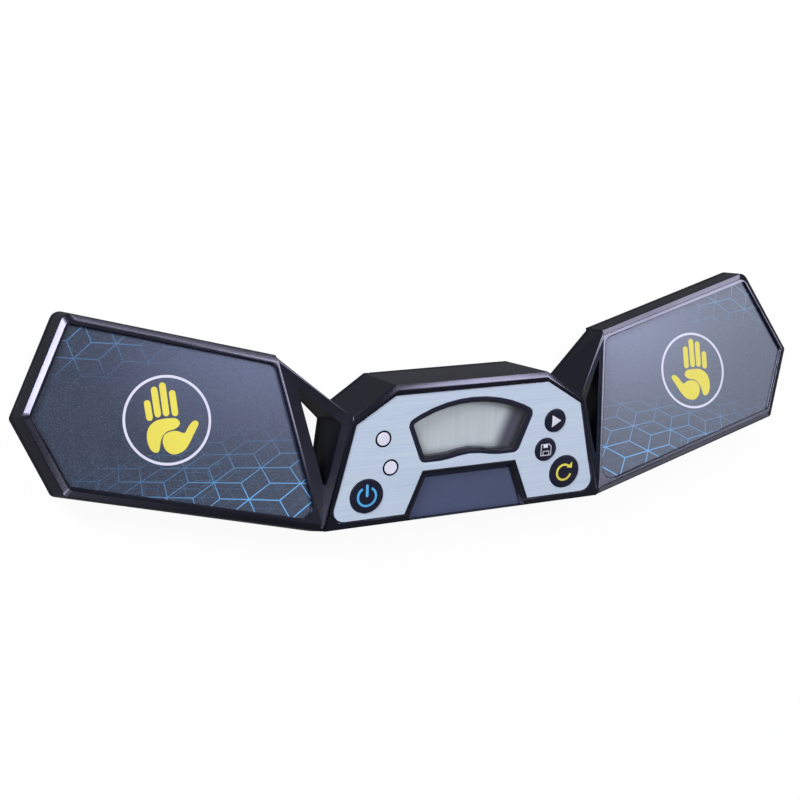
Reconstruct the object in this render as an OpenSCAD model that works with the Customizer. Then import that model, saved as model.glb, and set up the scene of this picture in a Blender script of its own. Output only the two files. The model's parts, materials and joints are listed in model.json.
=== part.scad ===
// Speed cube timer: two touch wings joined to a sloping display console.
// X runs to the right, Y to the back, Z up. The rubber feet stand on Z = 0.
// Places on the console's face are given as x, y along the face from its front edge, and depth below it.

/* [Wings] */
// Height of the wing rim above the case's underside
wing_h = 12.5; // [12:0.1:14]
// Half width of the case at the wing tips
tip_x = 148; // [144:0.1:154]
// Tip, from the centre of the case towards the back
tip_y = 7.2; // [4:0.1:10]
// Front outer corner of a wing, across
front_x = 137.3; // [134:0.1:140]
// Front outer corner of a wing, from the centre
front_y = -18.5; // [-21:0.1:-16]
// Back outer corner of a wing, across
back_x = 132; // [128:0.1:136]
// Back outer corner of a wing, from the centre
back_y = 38.4; // [36.5:0.1:40.5]
// Neck, where a wing's back edge meets its arm, across
neck_x = 64; // [62:0.1:66]
// Neck, from the centre
neck_y = 20; // [19:0.1:21.5]
// Root, where a wing meets the console's front corner, across
root_x = 53.9; // [53:0.1:55]
// Root, from the centre
root_y = -39.7; // [-40:0.1:-39.3]
// Width of the rim from the case's front and back edges to the touch pad
rim_w = 3.4; // [3:0.1:4]
// Width of the rim along the two edges at the tip
rim_tip_w = 2.8; // [2.5:0.1:3.4]
// Width of the sloping part of the rim
chamfer_w = 2; // [1.2:0.1:2.4]
// Drop of the sloping part of the rim
chamfer_h = 1.3; // [0.8:0.1:1.8]
// Run-out of the wing's back and tip walls, from the rim down to the underside
wing_draft = 2; // [1:0.1:2.4]
// Run-out of the wing's front wall
front_draft = 0.2; // [0:0.1:0.6]
// Gap between the pad's inner edge and the fold towards the console
pad_fold_gap = 1.3; // [1:0.1:1.6]
// Depth of the touch pad's surface below the rim
pad_drop = 1.2; // [0.8:0.1:1.6]
// Thickness of the touch pad
pad_t = 0.8; // [0.6:0.1:1]
// Corner radius of the pad next to the console
pad_root_r = 4; // [2:0.5:5]
// Thickness of the metal touch plate under the pad
plate_t = 0.4; // [0.3:0.1:0.5]
// Margin from the pad's edge to the touch plate's edge
plate_margin = 4; // [3:0.5:7]

/* [Console face] */
// Slope of the face, in degrees
face_tilt = 20; // [19:0.25:21]
// Face's half width at the front
face_front_x = 51.6; // [51:0.1:52]
// Face's half width at its bend
face_bend_x = 48.7; // [48.2:0.1:49.2]
// Face's bend, from the front edge
face_bend_y = 11.1; // [10:0.1:12]
// Face's half width at its shoulder
face_side_x = 43.3; // [42.8:0.1:43.8]
// Face's shoulder, from the front edge
face_side_y = 33.6; // [33:0.1:34.2]
// Face's half width at the back
face_top_x = 29.3; // [28.5:0.1:30]
// Face's depth from front to back
face_top_y = 42.5; // [42:0.1:43]
// Width of the case frame behind the face
frame_back_w = 3.5; // [3.2:0.1:4]
// Width of the case frame along the slanted shoulders
frame_slant_w = 2.9; // [2.7:0.1:3.2]
// Width of the case frame along the sides
frame_side_w = 1.7; // [1.5:0.1:1.9]
// Width of the lip in front of the face
frame_front_w = 2.7; // [2.4:0.1:3]
// Width of the bevel behind the face
bevel_w = 1.7; // [1.2:0.1:2.2]
// Drop of the bevel behind the face
bevel_h = 1.2; // [0.8:0.1:1.6]
// Height of the frame above the face panel
frame_rise = 0.25; // [0.1:0.05:0.4]
// Run-out of the console's back wall from top to bottom
back_flare = 6.4; // [5:0.1:7]
// Thickness of the metal face panel
panel_t = 0.8; // [0.6:0.1:1]
// Radius of the face's front corners
panel_r = 4; // [2:0.5:5]

/* [Nameplate] */
// Half width of the panel's notch at the front edge
notch_front_x = 24.2; // [23.5:0.1:25]
// Half width of the panel's notch at its back
notch_top_x = 18.1; // [17.5:0.1:18.7]
// Depth of the panel's notch from the front edge
notch_y = 15; // [14.5:0.1:15.2]
// Half width of the nameplate at the front
plate_front_x = 21.8; // [21:0.1:22.3]
// Half width of the nameplate at its back
plate_top_x = 16.3; // [15.5:0.1:16.6]
// Nameplate's back edge, from the face's front edge
plate_top_y = 12; // [11.4:0.1:12.5]
// Depth of the nameplate below the face
nameplate_drop = 1.3; // [1:0.1:1.6]
// Thickness of the nameplate
nameplate_t = 0.8; // [0.6:0.1:1]

/* [Display] */
// Half width of the window at its upper corners
window_top_x = 24.5; // [24:0.1:25]
// Height of the window's upper corners up the face
window_shoulder_y = 32.6; // [32:0.1:33.2]
// Top of the window's arch up the face
window_crown_y = 39.5; // [39:0.1:40]
// Half width of the window at its lower corners
window_foot_x = 18.8; // [18:0.1:19.4]
// Height of the window's lower edge up the face
window_foot_y = 17.8; // [17.4:0.1:18.2]
// Rise in the middle of the window's lower edge
window_dip = 1.5; // [1:0.1:2]
// Corner radius of the window
window_r = 2.6; // [2:0.1:3]
// Width of the dark trim round the window
trim_w = 1.25; // [1:0.05:1.5]
// Thickness of the liquid crystal cell
lcd_t = 1.8; // [1.4:0.1:2]
// Wall of the holder round the liquid crystal cell
lcd_holder_w = 0.8; // [0.6:0.1:1]
// Height of the elastic strip between the liquid crystal cell and the board
strip_h = 1.05; // [0.95:0.05:1.2]
// Margin from the cell's ends to the elastic strip
strip_inset = 3; // [2:0.5:5]

/* [Controls] */
// Radius of the large buttons
big_r = 6; // [5.6:0.1:6.3]
// Large buttons from the centre line
big_x = 38.7; // [38.4:0.1:39]
// Large buttons up the face
big_y = 8.3; // [8.2:0.1:9]
// Radius of the small buttons
small_r = 4.2; // [3.9:0.1:4.3]
// Upper small button and light, from the centre line
upper_x = 33.3; // [33:0.1:33.6]
// Upper small button and light, up the face
upper_y = 27.9; // [27.6:0.1:28.2]
// Lower small button and light, from the centre line
lower_x = 30.2; // [30:0.1:30.4]
// Lower small button and light, up the face
lower_y = 17.5; // [17.3:0.1:17.7]
// Height of the button caps above the face
cap_rise = 0.5; // [0.3:0.05:0.7]
// Travel of every button
travel = 0.7; // [0.5:0.05:0.75]
// Gap round a button cap in the face
cap_gap = 0.15; // [0.1:0.05:0.25]
// Width of the flange that keeps a button in the case
flange_w = 0.7; // [0.6:0.05:0.8]
// Thickness of a button's flange
flange_t = 1; // [0.8:0.1:1.1]
// Radius of a status light's lens
light_r = 2.3; // [2:0.1:2.4]
// Width of the dark collar round a status light
light_collar = 0.6; // [0.4:0.05:0.7]

/* [Case] */
// Height of the rubber feet below the case
foot_h = 1; // [0.8:0.1:1.5]
// Radius of a rubber foot
foot_r = 5; // [4:0.5:6]
// Wall of the case
wall = 2; // [1.8:0.1:2.2]
// Height of the parting line above the underside
part_h = 3; // [2.8:0.1:3.6]
// Thickness of the lower shell's floor
floor_t = 2.6; // [2.4:0.1:2.8]
// Thickness of the deck under the face panel and pads
deck_t = 1.8; // [1.6:0.1:2]
// Margin from the arm's edges to the triangular opening
opening_margin = 3; // [2.6:0.1:3.2]
// Radius of a screw's shank
screw_r = 1.3; // [1.2:0.05:1.5]
// Radius of a case screw's head
screw_head_r = 2.5; // [2.3:0.1:2.8]
// Thickness of the main circuit board
board_t = 1.2; // [1:0.1:1.2]

/* [Batteries] */
// Diameter of a battery cell
cell_d = 10.5; // [10:0.1:10.5]
// Length of a battery cell with its nub
cell_len = 44.5; // [44:0.1:44.5]
// Centre of the front cell, from the case's centre
cell_y = -10; // [-10:0.1:-9.6]
// Spacing of the two cells
cell_pitch = 10.9; // [10.8:0.1:11]
// Half length of the battery bay
bay_x = 26; // [25.5:0.1:26.5]
// Wall of the battery bay
bay_wall = 1.2; // [1:0.1:1.2]
// Thickness of the battery cover
cover_t = 1.8; // [1.6:0.1:1.9]

/* [Hidden] */

$fn = 48;
lead_r = 0.6;       // radius of a touch lead
fit = 0.2;          // clearance round a piece that drops into a pocket
touch = 0.05;       // gap between faces that bear on each other
big = 400;          // size of a block that only cuts
left = [1, 0, 0];   // plane that mirrors the right side to the left

// Levels above the ground
base_z = foot_h;
part_z = base_z + part_h;
floor_z = base_z + floor_t;
rim_z = base_z + wing_h;
pad_z = rim_z - pad_drop;
wing_deck_z = pad_z - pad_t;
wing_roof_z = wing_deck_z - plate_t - deck_t;

// The face's front edge lies on this line
face_y0 = -37.5;
face_z0 = rim_z;

// Depths below the face
deck_top = panel_t;
deck_low = panel_t + deck_t;
window_top = 0.15;
lcd_top = deck_low + touch;
board_depth = lcd_top + lcd_t + strip_h + 2 * touch;

// A point on the sloping face, at a height over it
function on_face(p, h) = [p[0],
    face_y0 + p[1] * cos(face_tilt) - h * sin(face_tilt),
    face_z0 + p[1] * sin(face_tilt) + h * cos(face_tilt)];
function flat(p) = [p[0], p[1]];
function at_z(pts, z) = [for (p = pts) [p[0], p[1], z]];

// Moves every edge of an outline outwards by its own distance
function edge_normal(a, b) = let (d = b - a) [d[1], -d[0]] / norm(d);
function meet(p, m, dm, n, dn) =
    let (det = m[0] * n[1] - m[1] * n[0])
    p + [dm * n[1] - dn * m[1], dn * m[0] - dm * n[0]] / det;
function grow(pts, d) =
    let (k = len(pts))
    [for (i = [0 : k - 1])
        let (before = (i + k - 1) % k, after = (i + 1) % k)
        meet(pts[i],
            edge_normal(pts[before], pts[i]), is_list(d) ? d[before] : d,
            edge_normal(pts[i], pts[after]), is_list(d) ? d[i] : d)];

// Turns each corner of an outline into an arc of its own radius
corner_steps = 5;
function arc_corner(a, p, b, r) =
    let (u = (a - p) / norm(a - p), v = (b - p) / norm(b - p),
        half = acos(max(-1, min(1, u * v))) / 2,
        cut = r / tan(half),
        mid = (u + v) / norm(u + v),
        c = p + mid * (r / sin(half)),
        s = p + u * cut - c,
        turn = 180 - 2 * half)
    [for (i = [0 : corner_steps])
        let (t = turn * i / corner_steps)
        c + [s[0] * cos(t) - s[1] * sin(t), s[0] * sin(t) + s[1] * cos(t)]];
function round_corners(pts, r) =
    let (k = len(pts))
    [for (i = [0 : k - 1])
        each arc_corner(pts[(i + k - 1) % k], pts[i], pts[(i + 1) % k], is_list(r) ? r[i] : r)];

// A closed solid through rings of equally many points, from the lowest ring to the highest
module loft(rings) {
    k = len(rings[0]);
    top = (len(rings) - 1) * k;
    polyhedron(
        points = [for (ring = rings) each ring],
        faces = concat(
            [[for (i = [0 : k - 1]) i]],
            [[for (i = [k - 1 : -1 : 0]) top + i]],
            [for (r = [0 : len(rings) - 2], i = [0 : k - 1])
                [r * k + i, (r + 1) * k + i, (r + 1) * k + (i + 1) % k]],
            [for (r = [0 : len(rings) - 2], i = [0 : k - 1])
                [r * k + i, (r + 1) * k + (i + 1) % k, r * k + (i + 1) % k]]));
}

// A round tube swept along a list of points
tube_sides = 8;
function unit(v) = v / norm(v);
module tube(path, r) {
    k = len(path);
    function along(i) = unit(path[min(i + 1, k - 1)] - path[max(i - 1, 0)]);
    function side(i) = unit(cross(along(i), [0, 1, 0.2]));
    loft([for (i = [0 : k - 1])
        [for (s = [0 : tube_sides - 1])
            let (a = -360 * s / tube_sides, u = side(i), v = cross(u, along(i)))
            path[i] + r * cos(a) * u + r * sin(a) * v]]);
}

// Draws its children on the right and mirrored on the left
module both() {
    children();
    mirror(left) children();
}
// Places its children on the face, at x, y and a height over it
module face_place(x = 0, y = 0, h = 0) {
    translate([0, face_y0, face_z0]) rotate([face_tilt, 0, 0]) translate([x, y, h]) children();
}
// A plate under the face between two depths, from an outline drawn on the face
module face_plate(top, low) {
    face_place(0, 0, -low) linear_extrude(low - top) children();
}
// A round bar under the face between two depths
module face_bar(r, top, low) {
    translate([0, 0, -low]) cylinder(r = r, h = low - top);
}

// ---- Outlines ----

// Right wing, from the root round the tip to the neck
wing_pts = [[root_x, root_y], [front_x, front_y], [tip_x, tip_y], [back_x, back_y], [neck_x, neck_y]];
wing_corner_r = [0.3, 2.5, 2.5, 3.5, 0.3];
wing_foot_edges = [front_draft, wing_draft, wing_draft, wing_draft, 0];
function wing_ring(d, z) = at_z(round_corners(grow(wing_pts, d), wing_corner_r), z);
// Distances outside the front, two tip, back and inner edges
function edges(outer, inner) = [outer, outer, outer, outer, inner];
function rim_edges(more) = [-rim_w - more, -rim_tip_w - more, -rim_tip_w - more, -rim_w - more,
    -pad_fold_gap - more];
function pad_outline(more) = round_corners(grow(wing_pts, rim_edges(more)), [pad_root_r, 1, 1, 1, 3]);
pad_pts = pad_outline(0);
plate_pts = pad_outline(plate_margin);

// Console face, from its right front corner round the back
face_right = [[face_front_x, 0], [face_bend_x, face_bend_y], [face_side_x, face_side_y],
    [face_top_x, face_top_y]];
function mirrored(pts) = concat(pts, [for (i = [len(pts) - 1 : -1 : 0]) [-pts[i][0], pts[i][1]]]);
face_pts = mirrored(face_right);
// Distances for the right sides, slant, back, slant, left sides and front
function face_edges(side, slant, back, front) = [side, side, slant, back, slant, side, side, front];
frame_pts = grow(face_pts, face_edges(frame_side_w, frame_slant_w, frame_back_w, frame_front_w));
frame_top_pts = grow(frame_pts, face_edges(-0.3, -bevel_w, -bevel_w, -0.3));
frame_plan = [for (p = frame_pts) flat(on_face(p, frame_rise - bevel_h))];
console_foot_pts = grow(frame_plan, face_edges(0.8, back_flare - 1.3, back_flare, 1));
shoulder_r = on_face(frame_pts[2], frame_rise - bevel_h);

panel_pts = round_corners(face_pts, [panel_r, 8, 1, 1, 1, 1, 8, panel_r]);
notch_pts = [[-notch_front_x, 0], [notch_front_x, 0], [notch_top_x, notch_y], [-notch_top_x, notch_y]];
nameplate_front_y = -frame_front_w + 0.5;
nameplate_pts = [[-plate_front_x, nameplate_front_y], [plate_front_x, nameplate_front_y],
    [plate_top_x, plate_top_y], [-plate_top_x, plate_top_y]];

// Window: an arched top, slanting sides and a lower edge that rises in the middle
window_steps = 10;
window_arch_r = (pow(window_top_x, 2) + pow(window_crown_y - window_shoulder_y, 2))
    / (2 * (window_crown_y - window_shoulder_y));
window_arch_a = asin(window_top_x / window_arch_r);
function dip(x) = window_dip * (1 + cos(180 * min(1, abs(x) / 12))) / 2;
module window_shape(margin = 0) {
    offset(delta = margin) offset(r = window_r) offset(delta = -window_r) polygon(concat(
        [for (i = [0 : window_steps])
            let (x = window_foot_x * (2 * i / window_steps - 1)) [x, window_foot_y + dip(x)]],
        [for (i = [0 : window_steps])
            let (a = window_arch_a * (1 - 2 * i / window_steps))
            [window_arch_r * sin(a), window_crown_y - window_arch_r * (1 - cos(a))]]));
}

// Triangular opening between the wing, the arm and the console, seen from above
arm_pts = [[root_x, root_y], [neck_x, neck_y], flat(shoulder_r)];
// Outline of the opening where its walls lean by these distances: wing side, arm side, console side
function opening_ring(arm_lean, console_lean, z) = at_z(round_corners(grow(arm_pts,
    [-opening_margin, -opening_margin - 0.2 + arm_lean, -opening_margin + 0.6 + console_lean]), 0.5), z);

// Places of the buttons, lights and screws
big_buttons = [[-big_x, big_y], [big_x, big_y]];
small_buttons = [[upper_x, upper_y], [lower_x, lower_y]];
lights = [[-upper_x, upper_y], [-lower_x, lower_y]];
board_posts = [[-26.7, 5.4], [26.7, 5.4], [-32, 36.4], [32, 36.4]];
case_posts = [[124, -11.5], [122, 24.5], [74, -25.5], [78, 14.5]];
console_posts = [[41.5, -15.5]];
feet_places = [[126, -2.5], [76, -16.5], [42, -28.5]];
// Where a touch lead leaves its plate, and the passage that takes it to the console
lead_hole = [66.5, -29.5];
passage_y = root_y + 3.3;
passage_size = [20, 7, 5.6];

// ---- Case ----

// Outside of the whole case, solid, down to a level that is cut off later
low_z = base_z - 1;
module case_body() {
    both() loft([wing_ring(wing_foot_edges, low_z),
        wing_ring(0, rim_z - chamfer_h), wing_ring(edges(-chamfer_w, 0), rim_z)]);
    loft([at_z(console_foot_pts, low_z),
        [for (p = frame_pts) on_face(p, frame_rise - bevel_h)],
        [for (p = frame_top_pts) on_face(p, frame_rise)]]);
    both() arm();
}
// Arm between a wing and the console, with the web round its opening
module arm() {
    inside = 0.3;
    neck_top = grow(wing_pts, edges(-chamfer_w, 0))[4];
    neck = [neck_x + inside, neck_y - inside];
    root = [root_x + inside, root_y + 2 * inside];
    in_neck = [neck_x + 4, neck_y - 1.5];
    in_root = [root_x + 5, root_y + 2.5];
    in_console = [shoulder_r[0] - 8, shoulder_r[1] - 6];
    foot = [console_foot_pts[2][0] - 2 * inside, console_foot_pts[2][1] - inside];
    neck_foot = grow(wing_pts, wing_foot_edges)[4] + [2 * inside, -inside];
    corner = on_face(frame_pts[0], frame_rise - bevel_h) + [-inside, inside, -inside];
    low = low_z;
    points = [
        [neck[0], neck[1], rim_z - chamfer_h], [neck_top[0] + inside, neck_top[1], rim_z - inside / 2],
        [root[0], root[1], rim_z - inside / 2], [in_neck[0], in_neck[1], rim_z - 3],
        [in_root[0], in_root[1], rim_z - 3], shoulder_r - [inside, inside, inside],
        [in_console[0], in_console[1], rim_z], corner, [corner[0], corner[1], low],
        [neck_foot[0], neck_foot[1], low], [root[0], root[1], low],
        [in_neck[0], in_neck[1], low], [in_root[0], in_root[1], low], [foot[0], foot[1], low],
        [in_console[0], in_console[1], low]];
    hull() polyhedron(points = points, faces = [for (i = [0 : len(points) - 3]) [i, i + 1, i + 2]]);
}
module openings() {
    both() loft([opening_ring(1.9, -0.9, -1), opening_ring(-1.1, 0.4, 30)]);
}
module below(z) {
    translate([-big / 2, -big / 2, z - big]) cube(big);
}
// Room inside a wing up to its deck
module wing_room(z) {
    translate([0, 0, z]) linear_extrude(wing_roof_z - z)
        polygon(round_corners(grow(wing_pts, edges(-wall - 0.5, -wall - 0.5)), 2));
}
// Room inside the console up to its deck
module console_room(z, top) {
    intersection() {
        loft([at_z(grow(console_foot_pts, face_edges(-wall - 0.6, -wall, -wall, -wall)), z),
            [for (p = grow(frame_pts, face_edges(-wall, -wall, -wall, -wall))) on_face(p, 0)]]);
        face_place(0, 0, -top - 60) translate([-big / 2, -60, 0]) cube([big, big, 60]);
    }
}
// Passage for the touch leads from a wing to the console
module lead_passage() {
    translate([44, passage_y, part_z - 1]) cube(passage_size);
}
// Pockets, windows and bores in the face
module face_cuts() {
    face_plate(-5, deck_top) polygon(grow_panel(fit));
    face_plate(-5, deck_low + 1) window_shape(-trim_w - 0.8);
}
module cap_bores() {
    for (p = big_buttons) face_place(p[0], p[1]) face_bar(big_r + cap_gap, -1, deck_low + 1);
    for (p = small_buttons) face_place(p[0], p[1]) face_bar(small_r + cap_gap, -1, deck_low + 1);
}
function grow_panel(d) = round_corners(grow(face_pts, d), [panel_r, 8, 1, 1, 1, 1, 8, panel_r]);
// Sloping pocket that holds the nameplate
module nameplate_pocket() {
    mouth = grow(notch_pts, [0, -0.7, -0.8, -0.7]);
    face_place() loft([
        [for (p = grow(nameplate_pts, 0.05)) [p[0], p[1], -nameplate_drop - nameplate_t - 0.02]],
        [for (p = grow(nameplate_pts, 0.05)) [p[0], p[1], -nameplate_drop]],
        [[mouth[0][0], nameplate_front_y - 0.05, 0.6], [mouth[1][0], nameplate_front_y - 0.05, 0.6],
            [mouth[2][0], mouth[2][1], 0.6], [mouth[3][0], mouth[3][1], 0.6]]]);
}
// Frame of the nameplate pocket, which fills the panel's notch
module nameplate_frame() {
    face_plate(-frame_rise + 0.05, deck_low + 0.6) polygon([
        [-notch_front_x + 0.1, -0.6], [notch_front_x - 0.1, -0.6],
        [notch_front_x - 0.1, 0], [notch_top_x - 0.1, notch_y - 0.1],
        [-notch_top_x + 0.1, notch_y - 0.1], [-notch_front_x + 0.1, 0]]);
}
sleeve_low = deck_low + flange_t + travel;
module sleeves() {
    for (p = big_buttons) face_place(p[0], p[1]) face_bar(big_r + flange_w + 0.75, deck_low - 0.2, sleeve_low);
    for (p = small_buttons)
        face_place(p[0], p[1]) face_bar(small_r + flange_w + 0.7, deck_low - 0.2, sleeve_low);
}
module sleeve_bores() {
    for (p = big_buttons) face_place(p[0], p[1]) face_bar(big_r + flange_w + fit, deck_low, sleeve_low + 1);
    for (p = small_buttons)
        face_place(p[0], p[1]) face_bar(small_r + flange_w + 0.15, deck_low, sleeve_low + 1);
}
case_post_r = 3;
// Height of the board's underside above the ground, at a place behind the centre
function board_under(y) = face_z0 + (y - face_y0) * tan(face_tilt)
    - (board_depth + board_t) / cos(face_tilt);
console_post_z = board_under(console_posts[0][1] - case_post_r) - 0.5;
module post(p, r, low, high) {
    translate([p[0], p[1], low]) cylinder(r = r, h = high - low);
}

module upper_shell() {
    color([0.10, 0.10, 0.13]) difference() {
        union() {
            difference() {
                case_body();
                both() wing_room(low_z);
                console_room(low_z, deck_low);
                face_cuts();
                both() lead_passage();
            }
            nameplate_frame();
            sleeves();
            for (p = lights) face_place(p[0], p[1]) face_bar(light_r + light_collar, 0, deck_low + 0.1);
            for (p = board_posts) face_place(p[0], p[1]) face_bar(2, deck_low - 0.2, board_depth - touch);
            both() for (p = case_posts) post(p, case_post_r, part_z, wing_roof_z + 0.2);
            both() for (p = console_posts) {
                post(p, case_post_r, part_z, console_post_z);
                translate([p[0], p[1] - 1, part_z]) cube([6, 2, console_post_z - part_z]);
            }
        }
        below(part_z);
        openings();
        nameplate_pocket();
        sleeve_bores();
        cap_bores();
        for (p = lights) face_place(p[0], p[1]) face_bar(light_r + 0.05, -1, deck_low + 1);
        for (p = board_posts) face_place(p[0], p[1]) face_bar(screw_r + touch, deck_low + 0.2, board_depth + 1);
        both() {
            translate([0, 0, wing_deck_z]) linear_extrude(20) offset(delta = 0.1) polygon(pad_pts);
            translate([0, 0, wing_deck_z - plate_t]) linear_extrude(20) offset(delta = 0.1) polygon(plate_pts);
            translate([lead_hole[0], lead_hole[1], wing_roof_z - 1]) cylinder(r = 2 * lead_r, h = 10);
            for (p = case_posts) post(p, screw_r + touch, part_z - 1, wing_roof_z);
            for (p = console_posts) post(p, screw_r + touch, part_z - 1, console_post_z - 1);
        }
    }
}

// ---- Lower shell with the battery bay ----
tab_w = 4;
tab_z = 2.7;
bay_gap = 0.3;
cell_z = base_z + cover_t + 0.25 + cell_d / 2;
bay_r = cell_d / 2 + bay_gap;
bay_y0 = cell_y - bay_r;
bay_y1 = cell_y + cell_pitch + bay_r;
cover_x = 26.5;
cover_front_y = bay_y0 + 0.6;
cover_back_y = console_foot_pts[3][1];
tongue_w = 1;
// Section of the bay across the cells, grown outwards, down to the level z
module bay_section(more, z) {
    for (y = [cell_y, cell_y + cell_pitch]) translate([y, cell_z]) circle(r = bay_r + more);
    translate([bay_y0 - more, z]) square([bay_y1 - bay_y0 + 2 * more, cell_z - z]);
}
module along_bay(half) {
    translate([-half, 0, 0]) rotate([90, 0, 90]) linear_extrude(2 * half) children();
}
module lower_shell() {
    color([0.09, 0.09, 0.12]) difference() {
        union() {
            difference() {
                intersection() {
                    case_body();
                    below(part_z - touch / 2);
                }
                below(base_z);
                difference() {
                    union() {
                        both() wing_room(low_z);
                        console_room(low_z, deck_low);
                        both() translate([0, 0, floor_z - part_z]) lead_passage();
                    }
                    below(floor_z);
                }
            }
            along_bay(bay_x + bay_wall) bay_section(bay_wall, floor_z - 0.2);
            both() for (p = case_posts) post(p, screw_head_r + 1.6, floor_z - 0.2, part_z - touch);
            both() for (p = console_posts) post(p, screw_head_r + 1.6, floor_z - 0.2, part_z - touch);
        }
        openings();
        along_bay(bay_x) bay_section(0, low_z);
        // slot and side grooves for the battery cover
        translate([-cover_x - fit, cover_front_y - fit, base_z - 1])
            cube([2 * (cover_x + fit), big, cover_t + 1.1]);
        translate([-cover_x - tongue_w - fit, cover_front_y - fit, base_z + 0.7])
            cube([2 * (cover_x + tongue_w + fit), big, cover_t - 0.6]);
        for (x = [-bay_x - 0.8, bay_x - 0.1], y = [cell_y, cell_y + cell_pitch])
            translate([x, y - tab_w / 2 - 0.1, cell_z + tab_z - 0.1]) cube([0.9 + bay_wall, tab_w + 0.2, 0.7]);
        both() {
            for (p = case_posts) post(p, screw_r + 0.2, base_z - 1, part_z + 1);
            for (p = case_posts) post(p, screw_head_r + fit, base_z - 1, base_z + 1.5);
            for (p = console_posts) post(p, screw_r + 0.2, base_z - 1, part_z + 1);
            for (p = console_posts) post(p, screw_head_r + fit, base_z - 1, base_z + 1.5);
            for (p = feet_places) post(p, foot_r + 0.1, base_z - 1, base_z + 0.5);
        }
    }
}

// ---- Face ----
module console_panel() {
    color([0.75, 0.80, 0.90]) difference() {
        face_plate(0, panel_t - 0.02) polygon(panel_pts);
        face_plate(-1, panel_t + 1) polygon(grow(notch_pts, [1, 0, 0, 0]));
        face_plate(-1, panel_t + 1) window_shape(0.1);
        cap_bores();
        for (p = lights) face_place(p[0], p[1]) face_bar(light_r + light_collar + 0.05, -1, panel_t + 1);
    }
}
module nameplate() {
    color([0.28, 0.31, 0.42]) face_plate(nameplate_drop, nameplate_drop + nameplate_t)
        polygon(nameplate_pts);
}
module window_trim() {
    color([0.16, 0.16, 0.24]) face_plate(0.05, panel_t - 0.02) difference() {
        window_shape();
        window_shape(-trim_w);
    }
}
module display_window() {
    color([0.85, 0.90, 0.92, 0.4]) face_plate(window_top, panel_t - 0.02) window_shape(-trim_w - touch);
}

// ---- Display module and board ----
lcd_x = 23.4;
lcd_y0 = window_foot_y + 0.2;
lcd_y1 = window_crown_y;
module lcd_cell() {
    color([0.62, 0.66, 0.66]) face_place(-lcd_x, lcd_y0, -lcd_top - lcd_t)
        cube([2 * lcd_x, lcd_y1 - lcd_y0, lcd_t]);
}
module lcd_holder() {
    gap = 0.1;
    color([0.85, 0.85, 0.83]) face_place(0, 0, -board_depth + touch) difference() {
        translate([-lcd_x - lcd_holder_w, lcd_y0 - lcd_holder_w, 0])
            cube([2 * (lcd_x + lcd_holder_w), lcd_y1 - lcd_y0 + 2 * lcd_holder_w,
                board_depth - touch - lcd_top]);
        translate([-lcd_x - gap, lcd_y0 - gap, -1])
            cube([2 * (lcd_x + gap), lcd_y1 - lcd_y0 + 2 * gap, 20]);
    }
}
module contact_strip() {
    strip_w = 2;
    color([0.75, 0.45, 0.55]) face_place(-lcd_x + strip_inset, lcd_y0 + 0.6, -board_depth + touch)
        cube([2 * (lcd_x - strip_inset), strip_w, strip_h]);
}
module main_board() {
    color([0.10, 0.38, 0.20]) difference() {
        face_plate(board_depth, board_depth + board_t) polygon(
            round_corners(grow(face_pts, -2.6), [1, 8, 1, 1, 1, 1, 8, 1]));
        for (p = board_posts) face_place(p[0], p[1]) face_bar(screw_r + 0.1, board_depth - 1, board_depth + 5);
    }
}
module under_board(x, y, size) {
    face_place(x - size[0] / 2, y - size[1] / 2, -board_depth - board_t - size[2] - 0.02) cube(size);
}
module controller_chip() {
    color([0.06, 0.06, 0.07]) under_board(-14, 10, [9, 7, 1.2]);
}
module board_parts() {
    color([0.75, 0.70, 0.55]) {
        under_board(-4, 9, [6, 2.4, 1.4]);
        for (i = [0 : 3]) under_board(5 + 4 * i, 7, [2, 1.2, 0.8]);
        for (i = [0 : 3]) under_board(5 + 4 * i, 11, [2, 1.2, 0.8]);
    }
}
led_h = 0.7;
module status_leds() {
    color([0.95, 0.95, 0.85]) for (p = lights)
        face_place(p[0] - 1.4, p[1] - 1.2, -board_depth + 0.02) cube([2.8, 2.4, led_h]);
}
module status_lenses() {
    color([0.92, 0.92, 0.98]) for (p = lights) face_place(p[0], p[1]) {
        face_bar(light_r, -0.1, deck_low + 0.15);
        face_bar(light_r + 0.6, deck_low + 0.12, deck_low + 0.9);
        face_bar(light_r - 0.8, deck_low + 0.8, board_depth - led_h - 0.1);
    }
}

// ---- Buttons: a slightly domed cap, a flange under the deck and a stem into the switch ----
switch_h = 1.2;
stem_r = 1.5;
dome_h = 0.25;
module button(p, r) {
    dome_r = (r * r + dome_h * dome_h) / (2 * dome_h);
    face_place(p[0], p[1]) {
        intersection() {
            face_bar(r, -cap_rise, deck_low + touch);
            translate([0, 0, cap_rise - dome_r]) sphere(r = dome_r, $fn = 96);
        }
        face_bar(r + flange_w, deck_low + touch, deck_low + flange_t);
        face_bar(stem_r, deck_low + 0.5, board_depth - switch_h + 0.1);
    }
}
module power_button() { color([0.13, 0.14, 0.2]) button(big_buttons[0], big_r); }
module reset_button() { color([0.13, 0.14, 0.2]) button(big_buttons[1], big_r); }
module play_button() { color([0.13, 0.14, 0.2]) button(small_buttons[0], small_r); }
module save_button() { color([0.13, 0.14, 0.2]) button(small_buttons[1], small_r); }
module button_switches() {
    switch_w = 6;
    color([0.2, 0.2, 0.2]) for (p = concat(big_buttons, small_buttons)) face_place(p[0], p[1]) difference() {
        translate([-switch_w / 2, -switch_w / 2, -board_depth + 0.02]) cube([switch_w, switch_w, switch_h - 0.02]);
        face_bar(stem_r + fit, 0, board_depth - 0.2);
    }
}

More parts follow.
